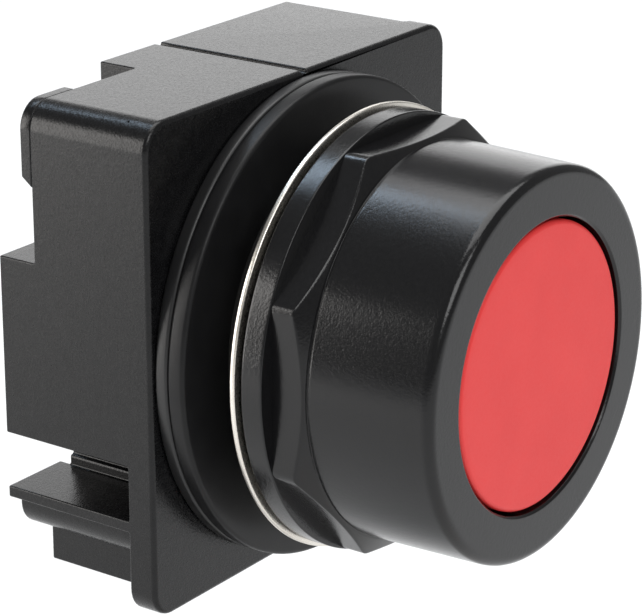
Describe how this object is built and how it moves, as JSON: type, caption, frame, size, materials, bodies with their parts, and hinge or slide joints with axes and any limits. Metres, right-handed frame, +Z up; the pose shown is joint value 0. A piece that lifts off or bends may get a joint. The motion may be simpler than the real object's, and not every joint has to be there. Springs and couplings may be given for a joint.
{
  "type": "push-button operator",
  "caption": "Panel-mounted push-button operator: flush red cap in a black ring nut with a round guard and octagonal flats, on a square base with a sealing gasket.",
  "frame": {"origin": "on the button axis at the front face of the gasket, where the panel lies", "axes": "+Z up, the button faces -Y, +Y goes in behind the panel, +X to the right seen from the front"},
  "size_m": [0.0446, 0.0413, 0.0446],
  "materials": {
    "base_plastic": "fine moulded grain",
    "barrel_plastic": "smooth moulded",
    "ring_plastic": "satin",
    "nut_plastic": "semi-gloss with a slight ripple",
    "red_plastic": "smooth satin",
    "natural_plastic": "satin",
    "dark_plastic": "satin",
    "gasket_rubber": "soft matt",
    "seal_rubber": "soft matt",
    "trim_metal": "satin",
    "steel": "satin",
    "spring_steel": "drawn wire and sheet",
    "zinc_steel": "zinc plated",
    "brass": "turned"
  },
  "bodies": {
    "operator_body": {"operator_base": "base_plastic", "threaded_barrel": "barrel_plastic", "flange_screw_top": "zinc_steel", "flange_screw_right": "zinc_steel", "flange_screw_bottom": "zinc_steel", "flange_screw_left": "zinc_steel", "backing_ring": "ring_plastic", "panel_gasket": "gasket_rubber", "diaphragm_seal": "seal_rubber", "seal_retainer": "steel", "return_spring": "spring_steel", "spring_washer": "steel", "guide_bush": "natural_plastic", "insert_left": "brass", "insert_right": "brass", "corner_tab": "base_plastic"},
    "button": {"button_cap": "red_plastic", "plunger": "natural_plastic", "retaining_clip": "spring_steel", "pusher_plate": "dark_plastic", "pusher_screw": "zinc_steel"},
    "nut_carriage": {"trim_washer": "trim_metal"},
    "nut": {"ring_nut": "nut_plastic"}
  },
  "joints": [
    {"name": "button_press", "type": "slide", "parent": "operator_body", "child": "button", "axis": [0, 1, 0], "range_m": [0, 0.0043], "stiffness_N_per_m": 700, "springref_m": -0.004, "deforming": ["return_spring", "diaphragm_seal"]},
    {"name": "nut_advance", "type": "slide", "parent": "operator_body", "child": "nut_carriage", "axis": [0, -1, 0], "range_m": [-0.0015, 0.0225]},
    {"name": "nut_turn", "type": "hinge", "parent": "nut_carriage", "child": "nut", "pos_m": [0, 0, 0], "axis": [0, -1, 0], "range_deg": [-360, 5400]}
  ],
  "couplings": [
    {"joint": "nut_advance", "follows": "nut_turn", "m_per_rad": 0.00023873}
  ]
}
